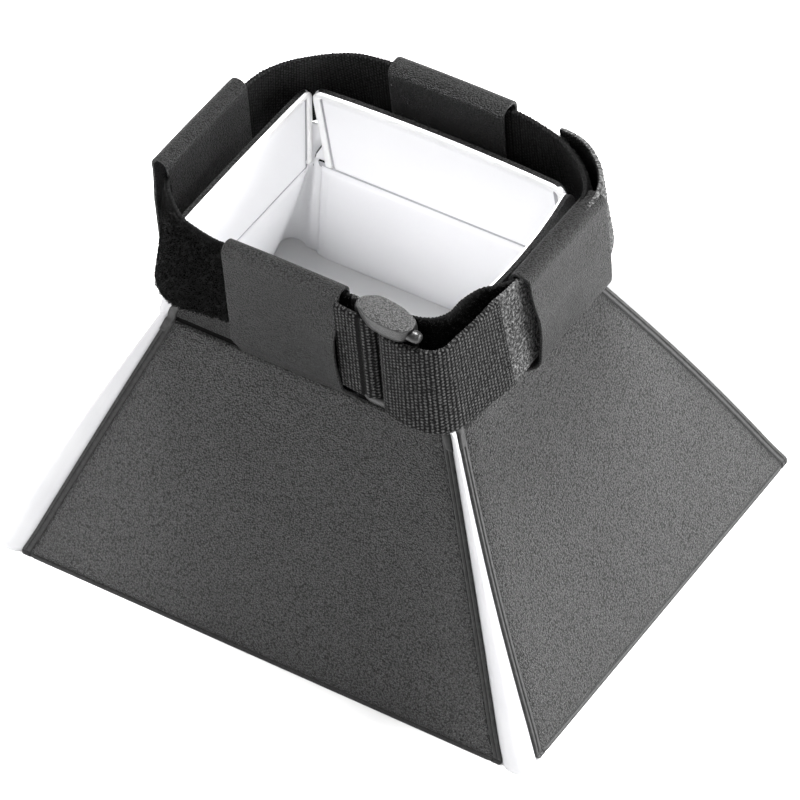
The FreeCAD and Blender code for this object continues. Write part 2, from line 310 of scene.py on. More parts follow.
def thread_material(name, dark, light, grain, depth, gloss, low=0.25, high=0.9):
    """Black yarn coloured by its relief attribute: near black in its hollows and lighter on its raised
    threads, with flecks. Where the relief is rib height this is painted shade and painted highlight;
    elsewhere it is random tone.
    """
    material, tree, shader, vector = node_material(name)
    relief = tree.nodes.new("ShaderNodeAttribute")
    relief.attribute_name = "relief"
    fleck = add_noise(tree, vector, grain, 4.0, 0.75)
    lit = add_math(tree, "MULTIPLY", relief.outputs["Fac"], add_range(tree, fleck, 0.45, 1.15, 0.36, 0.66))
    # Low relief turns near black and high relief light: painted shade in the hollows and painted highlight on
    # the raised threads.
    colour = add_ramp(tree, lit, [(low, grey(dark)), (high, grey(light))])
    tree.links.new(colour, shader.inputs["Base Color"])
    tree.links.new(add_range(tree, fleck, 0.78, 0.5, 0.3, 0.7), shader.inputs["Roughness"])
    shader.inputs["Specular IOR Level"].default_value = gloss
    add_bump(tree, shader, fleck, depth)
    return material


LEATHER = leather_material("leather_grain", 0.001, 0.115, 2300.0, 0.0012, 0.36, 0.58, 0.36)
LOOP_LEATHER = leather_material("leather_loop", 0.001, 0.054, 2500.0, 0.0011, 0.36, 0.58, 0.27)
EDGE_LEATHER = leather_material("leather_edge", 0.010, 0.022, 900.0, 0.00006, 0.40, 0.52, 0.30)
# Near-black colour for the crease strip: painted shade in the sunk crease line.
CREASE_SHADE = leather_material("crease_painted_shade", 0.001, 0.004, 1500.0, 0.00006, 0.7, 0.85, 0.05)
LINING = white_material("white_lining", (0.93, 0.93, 0.945), (0.95, 0.95, 0.965), 1400.0, 0.00003, 0.62)
# Grey colour is painted shade in the groove beside the flaps' binding and in the crease's inner line.
GROOVE_SHADE = white_material("groove_painted_shade", (0.34, 0.34, 0.36), (0.50, 0.50, 0.52), 1400.0, 0.00003, 0.7)
BINDING = white_material("white_binding", (0.88, 0.88, 0.88), (0.94, 0.94, 0.94), 1800.0, 0.00005, 0.55)
# The gusset's white cloth is coloured mid grey: painted shade that keeps it darker than the floor.
SHADED_GUSSET = white_material("white_gusset", (0.52, 0.52, 0.54), (0.58, 0.58, 0.59), 1200.0, 0.00004, 0.5, 0.15)
WEBBING = thread_material("webbing", 0.001, 0.13, 1900.0, 0.0002, 0.07, 0.34, 1.0)
BACKING = thread_material("strap_backing", 0.002, 0.035, 1900.0, 0.0001, 0.08)
PILE = thread_material("loop_pile", 0.0012, 0.030, 2600.0, 0.0001, 0.06, 0.35, 1.0)
HOOKS = thread_material("hook_section", 0.002, 0.20, 2200.0, 0.0002, 0.3, 0.25, 0.95)
# The grip's sides take this darker plastic and its top the lighter one below: painted shade on the sides and
# painted light on the top, besides the top's real grained finish.
PLASTIC = leather_material("ring_plastic", 0.004, 0.012, 2300.0, 0.00005, 0.30, 0.42, 0.45)
PLASTIC_LIT_TOP = leather_material("ring_grained_lit_top", 0.002, 0.10, 2600.0, 0.0003, 0.36, 0.56, 0.35)


# ---------------- mesh helpers


def add_object(name, data):
    """A new object in the scene."""
    thing = bpy.data.objects.new(name, data)
    bpy.context.scene.collection.objects.link(thing)
    return thing


def make_piece(name, points, faces, materials, indices=None, closed=True):
    """A mesh object from points in mm."""
    mesh = bpy.data.meshes.new(name)
    mesh.from_pydata([tuple(p * MM) for p in points], [], faces)
    for material in materials:
        mesh.materials.append(material)
    if indices:
        mesh.polygons.foreach_set("material_index", indices)
    mesh.polygons.foreach_set("use_smooth", [True] * len(mesh.polygons))
    piece = add_object(name, mesh)
    if closed:
        work = bmesh.new()
        work.from_mesh(mesh)
        bmesh.ops.recalc_face_normals(work, faces=work.faces)
        work.to_mesh(mesh)
        work.free()
    return piece


def slab(name, columns, rows, outer, inner, materials, pick=None):
    """A closed sheet between an outer and an inner surface, each a function of (column, row).

    pick gives the material index for a part of the sheet ("outer", "inner" or "rim") at a cell.
    """
    across = len(columns)
    up = len(rows)
    points = [outer(c, r) for r in rows for c in columns]
    points += [inner(c, r) for r in rows for c in columns]
    under = across * up
    faces = []
    indices = []

    def add(face, part, column, row):
        faces.append(face)
        indices.append(pick(part, columns[column], rows[row]) if pick else 0)

    for j in range(up - 1):
        for i in range(across - 1):
            a = j * across + i
            quad = (a, a + 1, a + across + 1, a + across)
            add(quad, "outer", i, j)
            add(tuple(under + k for k in reversed(quad)), "inner", i, j)
    for i in range(across - 1):
        add((i + 1, i, under + i, under + i + 1), "rim", i, 0)
        top = (up - 1) * across + i
        add((top, top + 1, under + top + 1, under + top), "rim", i, up - 2)
    for j in range(up - 1):
        a = j * across
        add((a, a + across, under + a + across, under + a), "rim", 0, j)
        b = a + across - 1
        add((b + across, b, under + b, under + b + across), "rim", across - 2, j)
    return make_piece(name, points, faces, materials, indices)


def circle(sides):
    """The cosine and sine of evenly spaced directions."""
    angles = [2 * math.pi * k / sides for k in range(sides)]
    return [(math.cos(angle), math.sin(angle)) for angle in angles]


def tube_faces(base, sides, rings):
    """Faces between rings of points that follow one another, from the point numbered base."""
    faces = []
    for i in range(rings - 1):
        for k in range(sides):
            a = base + i * sides + k
            b = base + i * sides + (k + 1) % sides
            faces.append((a, b, b + sides, a + sides))
    return faces


def soften(piece, width, segments=2):
    """Rounds the sheet's sharp edges."""
    bevel = piece.modifiers.new("edge", "BEVEL")
    bevel.width = width * MM
    bevel.segments = segments
    bevel.limit_method = "ANGLE"
    bevel.angle_limit = math.radians(50)


def spaced(start, end, count):
    """Evenly spaced values."""
    return [lerp(start, end, i / count) for i in range(count + 1)]


def rounded_path(points, radii, step):
    """Points about a step apart along a flat path whose corners are rounded."""
    line = []
    for i, point in enumerate(points):
        here = Vector(point)
        if radii[i] == 0:
            line.append(here)
            continue
        before = (Vector(points[i - 1]) - here).normalized()
        after = (Vector(points[i + 1]) - here).normalized()
        half = before.angle(after) / 2
        centre = here + (before + after).normalized() * (radii[i] / math.sin(half))
        start = here + before * (radii[i] / math.tan(half)) - centre
        turn = start.angle_signed(here + after * (radii[i] / math.tan(half)) - centre)
        count = max(4, int(abs(turn) * radii[i] / 0.4))
        for k in range(count + 1):
            angle = -turn * k / count
            c, s = math.cos(angle), math.sin(angle)
            line.append(centre + Vector((start.x * c - start.y * s, start.x * s + start.y * c)))
    lengths = [0.0]
    for a, b in zip(line, line[1:]):
        lengths.append(lengths[-1] + (b - a).length)
    total = lengths[-1]
    count = max(2, round(total / step))
    samples = []
    k = 0
    for i in range(count + 1):
        target = total * i / count
        while k < len(line) - 2 and lengths[k + 1] < target:
            k += 1
        span = max(lengths[k + 1] - lengths[k], 1e-9)
        samples.append(line[k].lerp(line[k + 1], min(1.0, (target - lengths[k]) / span)))
    return samples


def path_normals(samples):
    """The left-hand normal at each point of a flat path."""
    normals = []
    for i in range(len(samples)):
        ahead = samples[min(i + 1, len(samples) - 1)] - samples[max(i - 1, 0)]
        normals.append(Vector((-ahead.y, ahead.x)).normalized())
    return normals


def finish_piece(piece, body, slot_name, *nodes):
    """Puts a rigid piece on its body and hides the CAD nodes that it stands for; the material slot's name is
    not used.
    """
    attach(piece, body)
    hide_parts(*nodes)


def finish_blend(piece, bodies, start, end, slot_name, *nodes):
    """Bakes the placement of a piece that lies between two bodies and hides the CAD nodes it stands for; the
    bodies, the start and end in mm and the material slot's name are not used.
    """
    Vector(start) * MM
    Vector(end) * MM
    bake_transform(piece)
    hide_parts(*nodes)


def finish_at_crease(piece, side, slot_name, *nodes):
    """The same for a piece across a crease, rigid where the flap rides on its wall's body."""
    if side.flap_body == side.body:
        finish_piece(piece, side.body, slot_name, *nodes)
        return
    start = side.out * side.crease_reach + UP * (CREASE_HEIGHT - 0.4)
    end = side.out * side.crease_reach + UP * (CREASE_HEIGHT + 0.9)
    finish_blend(piece, (side.body, side.flap_body), start, end, slot_name, *nodes)


# ---------------- walls

# Depth under the cover's face, by distance in from the side edge: two pressed ridges and grooves.
EDGE_PROFILE = [
    (0.0, 0.50), (0.18, 0.10), (0.55, 0.0), (0.95, 0.08), (1.12, 0.34), (1.30, 0.10),
    (1.70, 0.0), (2.15, 0.10), (2.38, 0.52), (2.62, 0.34), (3.4, 0.16), (5.4, 0.0),
]
HEM_PROFILE = [(0.0, 0.42), (0.15, 0.16), (0.5, 0.10), (1.0, 0.14), (1.2, 0.30), (1.45, 0.12), (2.4, 0.0)]
CREASE_PROFILE = [(0.0, 0.66), (0.45, 0.62), (1.1, 0.08), (1.8, 0.0)]
LINING_TOP_PROFILE = [(0.0, 0.7), (0.8, 0.5), (2.0, 0.0)]
EDGE_DISTANCES = [0, 0.08, 0.18, 0.35, 0.55, 0.78, 0.95, 1.04, 1.12, 1.2, 1.3, 1.45, 1.7, 1.95, 2.15, 2.27,
                  2.38, 2.5, 2.62, 2.9, 3.4, 4.2, 5.4]
HEM_DISTANCES = [0, 0.06, 0.15, 0.3, 0.5, 0.75, 1.0, 1.1, 1.2, 1.32, 1.45, 1.8, 2.2, 3.0, 3.9, 5.0]
BODY_COLUMNS = 26
BODY_ROWS = 22
# The smooth strips along a cover's side edges and its hem.
SMOOTH_EDGE = 2.4
SMOOTH_HEM = 1.2


def corner_cut(rise, radius):
    """How much a rounded lower corner narrows a sheet at a height up its slope."""
    if rise >= radius:
        return 0.0
    return radius - math.sqrt(radius * radius - (radius - rise) ** 2)


def wall_columns():
    """Columns as (kind, value): a distance in from the left or right edge, or a middle share."""
    left = [("left", d) for d in EDGE_DISTANCES]
    middle = [("middle", i / BODY_COLUMNS) for i in range(1, BODY_COLUMNS)]
    right = [("right", d) for d in reversed(EDGE_DISTANCES)]
    return left + middle + right


def wall_across(column, half):
    """Where a column lies across the wall."""
    kind, value = column
    inner = half - EDGE_DISTANCES[-1]
    if kind == "left":
        return -half + value
    if kind == "right":
        return half - value
    return lerp(-inner, inner, value)


def from_edge(column):
    """A column's distance in from the wall's nearer edge, as far as the pressed edge goes."""
    kind, value = column
    return EDGE_DISTANCES[-1] if kind == "middle" else value


def make_wall(side):
    """The grained cover with its pressed side edges and hem, and the white inner face."""
    plane = wall_plane(side)
    rows = HEM_DISTANCES + spaced(HEM_DISTANCES[-1], plane.length - 2.4, BODY_ROWS)[1:]
    rows += [plane.length - x for x in (1.6, 1.2, 0.9, 0.6, 0.35, 0.15, 0.0)]

    def half_at(rise, inset=0.0):
        flare = FOOT_FLARE * max(0.0, 1 - rise / FOOT_FLARE_HEIGHT) ** 2
        cut = corner_cut(rise, WALL_CORNER_RADIUS)
        return side.wall_half(rise / plane.length) + flare - inset - cut

    def lining_inset(rise):
        return lerp(*LINING_INSETS, rise / plane.length)

    def place(column, rise, depth, inset=0.0):
        point = plane.point(wall_across(column, half_at(rise, inset)), rise, depth)
        point.z = max(point.z, 0.0)
        return point

    def cover_outer(column, rise):
        top = profile(CREASE_PROFILE, plane.length - rise)
        depth = max(profile(EDGE_PROFILE, from_edge(column)), profile(HEM_PROFILE, rise), top)
        return place(column, rise, depth)

    def cover_inner(column, rise):
        return place(column, rise, COVER_THICKNESS)

    def cover_pick(part, column, rise):
        return 1 if from_edge(column) < SMOOTH_EDGE or rise < SMOOTH_HEM or part != "outer" else 0

    cover = slab(
        "wall_cover_" + side.name, wall_columns(), rows, cover_outer, cover_inner,
        [LEATHER, EDGE_LEATHER], cover_pick,
    )
    finish_piece(cover, side.body, "leatherette", "cover_" + side.name)

    def lining_outer(column, rise):
        depth = profile([(1.5, 1.38), (2.6, COVER_THICKNESS + 0.04)], from_edge(column))
        return place(column, rise, depth, lining_inset(rise))

    def lining_inner(column, rise):
        depth = profile([(0.0, 1.6), (0.5, 1.85), (3.0, WALL_THICKNESS)], from_edge(column))
        depth -= profile(LINING_TOP_PROFILE, plane.length - rise)
        return place(column, rise, depth, lining_inset(rise))

    lining = slab(
        "wall_lining_" + side.name, wall_columns(), rows, lining_outer, lining_inner, [LINING]
    )
    finish_piece(lining, side.body, "white_lining", "lining_" + side.name, "board_" + side.name)


# ---------------- flaps


def flap_outline(plane, side, inset, count):
    """(across, rise) points up one side of a flap, over its rim and down the other side."""
    radius = max(FLAP_CORNER_RADIUS - inset, 0.3)
    top = plane.length - inset

    def half_at(rise):
        return side.flap_half(rise) - inset

    points = [(-half_at(rise), rise) for rise in spaced(FLAP_LIFT, top - radius, count)]
    for i in range(1, 9):
        angle = math.pi / 2 * i / 8
        across = -half_at(top) + radius * (1 - math.cos(angle))
        points.append((across, top - radius * (1 - math.sin(angle))))
    right = [(-a, b) for a, b in reversed(points)]
    return points + [(x, top) for x in spaced(points[-1][0], right[0][0], 24)[1:-1]] + right


def flap_rows(plane):
    """Heights of a flap's rows, closer together round its upper corners."""
    last = plane.length
    close = [last - FLAP_CORNER_RADIUS + x for x in (0.6, 1.2, 1.7, 2.1, 2.45, 2.7, 2.88, 3.0)]
    return spaced(FLAP_LIFT, last - FLAP_CORNER_RADIUS, 22) + close


def make_flap(side):
    """A collar flap: black cover, white inner face with a groove, and the folded binding."""
    plane = flap_plane(side)

    def bowed(across, rise, depth):
        half = side.flap_halves[1]
        bulge = FLAP_BOWS[side.name] * (1 - min(1.0, (across / half) ** 2)) * (rise / plane.length) ** 2
        return plane.point(across, rise, depth - bulge)

    def half_at(rise, inset):
        cut = corner_cut(plane.length - rise, FLAP_CORNER_RADIUS)
        return side.flap_half(rise) - cut - inset

    def cover_at(rise):
        return half_at(rise, 0) + side.cover_half(rise) - side.flap_half(rise)

    cover = slab(
        "flap_cover_" + side.name + "_skin", spaced(-1, 1, 48), flap_rows(plane),
        lambda c, r: bowed(c * cover_at(r), r, 0.0),
        lambda c, r: bowed(c * cover_at(r), r, 1.3 if r > plane.length - 0.5 else FLAP_COVER_THICKNESS),
        [LOOP_LEATHER, LINING], lambda part, c, r: 1 if part == "inner" else 0,
    )
    soften(cover, 0.15)
    finish_piece(cover, side.flap_body, "leatherette", "flap_cover_" + side.name)

    groove = BINDING_WIDTH + BINDING_GAP
    depths = [(BINDING_WIDTH, 1.25), (groove, 1.3), (BINDING_WIDTH + 2 * BINDING_GAP, 1.66)]

    def to_rim(column, rise):
        return min(half_at(rise, 0) * (1 - abs(column)), plane.length - rise)

    fine = [-1 + x for x in (0.0, 0.03, 0.045, 0.06, 0.075, 0.09)]
    lining_columns = fine + spaced(-0.88, 0.88, 30) + [-x for x in reversed(fine)]
    lining = slab(
        "flap_lining_" + side.name + "_face", lining_columns,
        spaced(FLAP_LIFT, plane.length - 0.4, 56),
        lambda c, r: bowed(c * half_at(r, 0.4), r, FLAP_COVER_THICKNESS + 0.02),
        lambda c, r: bowed(c * half_at(r, 0.4), r, profile(depths, to_rim(c, r))),
        # The lining's inner face is coloured grey within the groove: painted shade.
        [LINING, GROOVE_SHADE], lambda part, c, r: 1 if part == "inner" and to_rim(c, r) < groove else 0,
    )
    finish_piece(
        lining, side.flap_body, "white_lining", "flap_lining_" + side.name, "flap_board_" + side.name
    )

    section = [
        (0.25, 1.22), (0.10, 1.34), (0.08, 1.55), (0.16, 1.80), (0.40, 1.95), (0.9, 2.0),
        (1.4, 1.95), (1.75, 1.82), (1.92, 1.6), (1.92, 1.28), (1.2, 1.2), (0.6, 1.2),
    ]
    outlines = [flap_outline(plane, side, inset, 22) for inset, _ in section]
    points = []
    for i in range(len(outlines[0])):
        for (_, depth), outline in zip(section, outlines):
            points.append(bowed(*outline[i], depth))
    size = len(section)
    faces = [tuple(range(size)), tuple(range(len(points) - size, len(points)))]
    faces += tube_faces(0, size, len(outlines[0]))
    binding = make_piece("flap_binding_" + side.name + "_tape", points, faces, [BINDING])
    finish_piece(binding, side.flap_body, "white_binding", "flap_binding_" + side.name)


def make_crease(side):
    """The flexible crease: a sunk line outside coloured near black as painted shade, and a grey line inside
    that is painted shade in the inner crease.
    """
    wall = wall_plane(side)
    flap = flap_plane(side)
    half = side.wall_halves[1] - 1.6

    def place(across, along, depth):
        if along < 0:
            return wall.point(across, wall.length + along, depth)
        return flap.point(across, along, depth)

    piece = slab(
        "crease_" + side.name, spaced(-half, half, 40), [-1.1, -0.7, -0.35, 0.0, 0.35, 0.7, 1.1],
        lambda c, r: place(c, r, 0.56 if abs(r) < 0.8 else COVER_THICKNESS + 0.02),
        lambda c, r: place(c, r, 1.34 if abs(r) < 0.8 else 1.25),
        [CREASE_SHADE, GROOVE_SHADE], lambda part, c, r: 1 if part == "inner" else 0,
    )
    finish_at_crease(piece, side, "crease_tape", "hinge_strip_" + side.name)


def make_edge_strip(side, sign):
    """The smooth strip that carries on from a wall's pressed side edge up the flap's edge."""
    wall = wall_plane(side)
    flap = flap_plane(side)
    below, above = 4.0, 11.0
    thickness = 0.36
    width = 2.3

    def place(c, along, depth):
        """c runs from 0 just past the outer edge to 1 at the strip's inner edge."""
        depth += 0.35 * (abs(2 * c - 1) ** 3) + profile([(0.0, thickness), (3.8, 0.0)], along + below)
        if along < 0:
            half = side.wall_half(1 + along / wall.length)
            return wall.point(sign * (half + 0.2 - width * c), wall.length + along, depth)
        half = side.cover_half(along)
        return flap.point(sign * (half + 0.2 - width * c), along, depth)

    columns = spaced(0, 1, 8) if sign < 0 else spaced(1, 0, 8)
    name = "edge_strip_" + side.name + ("_a" if sign > 0 else "_b")
    piece = slab(
        name, columns, spaced(-below, 0, 8) + spaced(0, above, 20)[1:],
        lambda c, r: place(c, r, -thickness), lambda c, r: place(c, r, 0.2), [EDGE_LEATHER],
    )
    finish_at_crease(piece, side, "leatherette")


# ---------------- gussets


def make_gusset(name, long_side, short_side, bodies):
    """A white strip that bulges out between two walls and ends as a tongue beside the collar."""
    sign_x = short_side.out.x
    sign_y = long_side.out.y

    def section(height):
        """End points, bow and tucks of the gusset at a height."""
        share = min(height / CREASE_HEIGHT, 1.0)
        over = max(0.0, height - CREASE_HEIGHT)
        long_reach = lerp(long_side.wide_reach, long_side.crease_reach, share) - over * LONG_LEAN
        short_reach = lerp(short_side.wide_reach, short_side.crease_reach, share) - over * SHORT_LEAN
        long_edge = long_side.cover_half(over) if over else long_side.wall_half(share)
        short_edge = short_side.cover_half(over) if over else short_side.wall_half(share)
        bow = lerp(4.0, 2.3, share) + 1.2 * math.sin(math.pi * share)
        tuck = lerp(*LINING_INSETS, share) + 1.3
        tucks = (tuck, tuck)
        if over:
            # Above the crease it stops beside the long side's flap, which leans inward in the fold.
            fade = max(0.0, 1 - over / 2.5)
            tucks = (tuck * fade + 0.02, tuck * max(0.0, 1 - over / 4) + 0.4)
            long_edge += 0.35 * (1 - fade)
        sink = profile([(0.0, GUSSET_SINK), (1.5, 0.02)], over)
        first = Vector((long_edge, long_reach - sink))
        return first, Vector((short_reach - GUSSET_SINK, short_edge)), bow, tucks

    def place(t, height, depth):
        """t runs from -1 under the long wall's cover to 1 under the short wall's."""
        first, last, bow, tucks = section(height)
        if abs(t) > BULGE_SHARE:
            run = (abs(t) - BULGE_SHARE) / (1 - BULGE_SHARE) * tucks[t > 0]
            flat = first - Vector((run, depth)) if t < 0 else last - Vector((depth, run))
        else:
            s = t / BULGE_SHARE
            chord = first.lerp(last, (s + 1) / 2)
            out = Vector((1, 1)).normalized()
            flat = chord + out * (bow * (1 - s * s) ** 0.6 - depth)
        return Vector((sign_x * flat.x, sign_y * flat.y, max(height, 0.02)))

    columns = [-1, -0.9, -0.8] + spaced(-BULGE_SHARE, BULGE_SHARE, 20) + [0.8, 0.9, 1]
    rows = spaced(0.02, CREASE_HEIGHT, 44) + spaced(CREASE_HEIGHT, GUSSET_TOP, 18)[1:]
    corner = Vector((sign_x * short_side.crease_reach, sign_y * long_side.crease_reach, CREASE_HEIGHT))
    foot = Vector((sign_x * short_side.wide_reach, sign_y * long_side.wide_reach, 0))
    line = (corner - foot).normalized()
    across = Vector((sign_x, -sign_y, 0))
    across = (across - line * across.dot(line)).normalized() * 3.2
    middle = foot - Vector((sign_x, sign_y, 0)) * 2.2
    start, end = middle - across, middle + across
    if bodies[0] != long_side.body:
        start, end = end, start
    piece = slab(
        name + "_strip", columns, rows,
        lambda t, z: place(t, z, 0.0), lambda t, z: place(t, z, GUSSET_THICKNESS),
        [SHADED_GUSSET, LINING], lambda part, t, z: 1 if part == "inner" else 0,
    )
    finish_blend(piece, bodies, start, end, "white_gusset", name)


# ---------------- belt loops


def make_loop(side, centre, inner_reach, outer_reach, top, flares, seed):
    """A leatherette strip from the crease, up inside the strap, over it and down outside.

    flares are how far the outer leg stands out at its two mouths.
    """
    foot = side.crease_reach
    fold_height = top - LOOP_HALF_THICKNESS
    path = [
        (foot + 0.45, 68.3), (inner_reach, 75.2), (inner_reach, fold_height),
        (outer_reach, fold_height), (outer_reach, 74.2), (foot + 0.9, 67.6),
    ]
    fold = min(2.1, (outer_reach - inner_reach) / 2 - 0.05)
    samples = rounded_path(path, [0, 4, fold, fold, 4, 0], 0.55)
    normals = path_normals(samples)
    count = len(samples)

    def place(across, i, half):
        point = samples[i] + normals[i] * half
        reach, height = point
        share = i / (count - 1)
        arch = 1 - across * across
        outer_leg = clamp((share - 0.55) * 8)
        belly = math.sin(math.pi * clamp((height - 69) / (top - 69)))
        mouth = flares[0] if across < 0 else flares[1]
        flare = mouth * max(0.0, (abs(across) - 0.1) / 0.9) ** 1.6
        reach += outer_leg * belly * (0.45 * arch - 0.1 + flare)
        ripple = noise.noise(Vector((across * 2.2 + seed, height * 0.09, share * 2.0)))
        reach += 0.16 * ripple * belly
        height += 0.18 * arch * clamp((height - 95) / 8) - 0.1
        along = centre + across * LOOP_WIDTH / 2 - 0.25 * across * belly
        return side.out * reach + side.along * along + UP * height

    piece = slab(
        "belt_loop_" + side.name + "_band", spaced(-1, 1, 30), list(range(count)),
        lambda c, i: place(c, i, LOOP_HALF_THICKNESS),
        lambda c, i: place(c, i, -LOOP_HALF_THICKNESS), [LOOP_LEATHER],
    )
    soften(piece, 0.2, 3)
    finish_piece(piece, side.body, "leatherette", "belt_loop_" + side.name)


# ---------------- strap


THREAD_SIDES = 3


def rib_height(distance, height, pitch, depth):
    """Woven ribs that run up the tape, broken into short raised stitches."""
    column = math.floor(distance / pitch)
    rib = abs(math.sin(math.pi * distance / pitch)) ** 0.7
    stitch = 0.7 + 0.3 * math.cos(2 * math.pi * height / 0.95 + math.pi * (column % 2))
    return depth * rib * stitch


def thread_tubes(lines, radius):
    """Points and faces of thin tubes, each along a list of points."""
    points = []
    faces = []
    for line in lines:
        base = len(points)
        for i, point in enumerate(line):
            ahead = line[min(i + 1, len(line) - 1)] - line[max(i - 1, 0)]
            first = ahead.orthogonal().normalized()
            second = ahead.cross(first).normalized()
            for c, s in circle(THREAD_SIDES):
                points.append(point + first * (radius * c) + second * (radius * s))
        faces += tube_faces(base, THREAD_SIDES, len(line))
        faces.append(tuple(base + k for k in reversed(range(THREAD_SIDES))))
        faces.append(tuple(range(len(points) - THREAD_SIDES, len(points))))
    return points, faces


def pile(place, length, density, size, seed, hooks=False):
    """Random thread loops, or stiff hooks, standing on a tape's face."""
    rand = random.Random(seed)
    lines = []
    for _ in range(int(length * (STRAP_TOP - STRAP_BOTTOM) * density)):
        s = rand.uniform(0, length)
        z = rand.uniform(STRAP_BOTTOM + 0.1, STRAP_TOP - 0.1)
        reach = size * rand.uniform(0.6, 1.25)
        turn = rand.uniform(0, 2 * math.pi)
        ds, dz = math.cos(turn) * reach, math.sin(turn) * reach
        lean = rand.uniform(-0.3, 0.3) * reach
        heights = (-0.15, 0.55, 0.62, 0.3) if hooks else (-0.12, 0.5, 0.72, 0.45, -0.12)
        line = []
        for i, height in enumerate(heights):
            t = i / (len(heights) - 1) - 0.5
            spread = 0.45 if hooks else 0.9
            at = min(max(s + ds * t * spread + lean * height, 0.0), length)
            line.append(place(at, z + dz * t * spread, height * reach))
        lines.append(line)
    return thread_tubes(lines, 0.055 if hooks else 0.05)


def lift_at(point):
    """How much higher the strap runs at the back left, and lower along the right side."""
    high = clamp((point.y - 0.35 * point.x + 20) / 60)
    low = clamp((point.x - 37) / 7) * clamp((34 - point.y) / 24)
    return 2.2 * high * high * (3 - 2 * high) - 1.1 * low * low * (3 - 2 * low)


class Tape:
    """One length of the strap seen from above, standing on edge and leaning in round corners."""

    def __init__(self, path, radii, outward, leans):
        self.samples = rounded_path(path, radii, 0.28)
        self.normals = path_normals(self.samples)
        self.half = STRAP_THICKNESS / 2
        self.outward = outward
        self.leans = leans
        self.length = sum((b - a).length for a, b in zip(self.samples, self.samples[1:]))
        self.step = self.length / (len(self.samples) - 1)

    def at(self, index, height, offset):
        """The point at a sample index, a height and an offset outward."""
        share = index / (len(self.samples) - 1)
        slant = (STRAP_BOTTOM + STRAP_TOP - 2 * height) / (STRAP_TOP - STRAP_BOTTOM)
        offset += profile(self.leans, share) * slant
        flat = self.samples[index] - self.normals[index] * (offset * self.outward)
        return Vector((flat.x, flat.y, height + lift_at(self.samples[index])))

    def along(self, distance, height, offset):
        """The point at a distance along the path."""
        place = distance / self.step
        index = min(int(place), len(self.samples) - 2)
        share = place - index
        return self.at(index, height, offset).lerp(self.at(index + 1, height, offset), share)


RELIEF_DEPTH = {"ribs": 0.22, "pile": 0.16, "hooks": 0.2}


def make_tape(name, path, radii, outer_kind, outward, seed, density=0.0, leans=((0, 0),), sag=0.0, seam=None):
    """A strap length whose outer face is pile, ribs or hooks and whose inner face is ribbed."""
    tape = Tape(path, radii, outward, leans)
    rows = [STRAP_BOTTOM + x for x in (0, 0.12, 0.3)]
    rows += spaced(STRAP_BOTTOM + 0.6, STRAP_TOP - 0.6, 72)
    rows += [STRAP_TOP - x for x in (0.3, 0.12, 0)]
    core = tape.half - (0.12 if outer_kind == "ribs" else 0.25)
    raised = {}

    def level(i, z):
        share = (z - STRAP_BOTTOM) / (STRAP_TOP - STRAP_BOTTOM)
        distance = i * tape.step
        ripple = 0.22 * noise.noise(Vector((distance * 0.09, seed, 0.5)))
        tooth = 0.14 * math.sin(2 * math.pi * distance / 0.95)
        saw = tooth if share > 0.99 or share < 0.01 else 0
        return z + ripple + saw - sag * math.sin(math.pi * distance / tape.length) * (0.4 + 0.6 * share)

    def rounded(z):
        edge = min(z - STRAP_BOTTOM, STRAP_TOP - z)
        return profile([(0.0, 0.55), (0.3, 0.9), (0.6, 1.0)], edge)

    def relief_at(i, z):
        """How raised the outer face is, from 0 to 1."""
        distance = i * tape.step
        if outer_kind == "ribs":
            value = rib_height(distance, z, 1.0, 1.0)
        elif outer_kind == "hooks":
            grains = Vector((distance * 1.9, z * 1.9, seed))
            value = clamp(0.5 + 1.1 * noise.noise(grains))
        else:
            value = min(0.5, max(0.0, 0.25 + 0.4 * noise.noise(Vector((distance * 1.6, z * 1.6, seed)))))
        if seam is not None:
            value *= profile([(0.35, 0.0), (0.8, 1.0)], abs(distance - seam))
        return value

    def outer(i, z):
        value = relief_at(i, z)
        raised["outer", i, z] = value
        dip = 0.0 if seam is None else profile([(0.0, 0.4), (0.7, 0.0)], abs(i * tape.step - seam))
        return tape.at(i, level(i, z), core * rounded(z) + RELIEF_DEPTH[outer_kind] * value - dip)

    def inner(i, z):
        value = rib_height(i * tape.step, z, 0.74, 1.0)
        raised["inner", i, z] = value
        return tape.at(i, level(i, z), 0.1 - tape.half * rounded(z) - 0.14 * value)

    outer_material = {"pile": PILE, "ribs": WEBBING, "hooks": HOOKS}[outer_kind]
    columns = list(range(len(tape.samples)))
    piece = slab(
        name, columns, rows, outer, inner, [outer_material, BACKING],
        lambda part, c, r: 1 if part == "inner" else 0,
    )
    relief = [raised["outer", i, z] for z in rows for i in columns]
    relief += [raised["inner", i, z] for z in rows for i in columns]
    if outer_kind == "ribs":
        set_relief(piece, relief)
        return piece

    def on_face(distance, z, height):
        return tape.along(distance, z, core + height)

    hooks = outer_kind == "hooks"
    points, faces = pile(on_face, tape.length, density, 0.55 if hooks else 0.62, seed, hooks)
    threads = make_piece(name + "_threads", points, faces, [outer_material], closed=False)
    join(piece, threads)
    rand = random.Random(seed)
    per_thread = (4 if hooks else 5) * THREAD_SIDES
    for _ in range(len(points) // per_thread):
        relief += [rand.uniform(0.2, 1.0)] * per_thread
    set_relief(piece, relief)
    return piece


def set_relief(piece, values):
    """Stores how raised each point of a woven face is, for its material."""
    attribute = piece.data.attributes.new("relief", "FLOAT", "POINT")
    attribute.data.foreach_set("value", values)


def join(piece, other):
    """Adds another mesh's geometry to a piece."""
    work = bmesh.new()
    work.from_mesh(piece.data)
    work.from_mesh(other.data)
    work.to_mesh(piece.data)
    work.free()
    mesh = other.data
    bpy.data.objects.remove(other)
    bpy.data.meshes.remove(mesh)


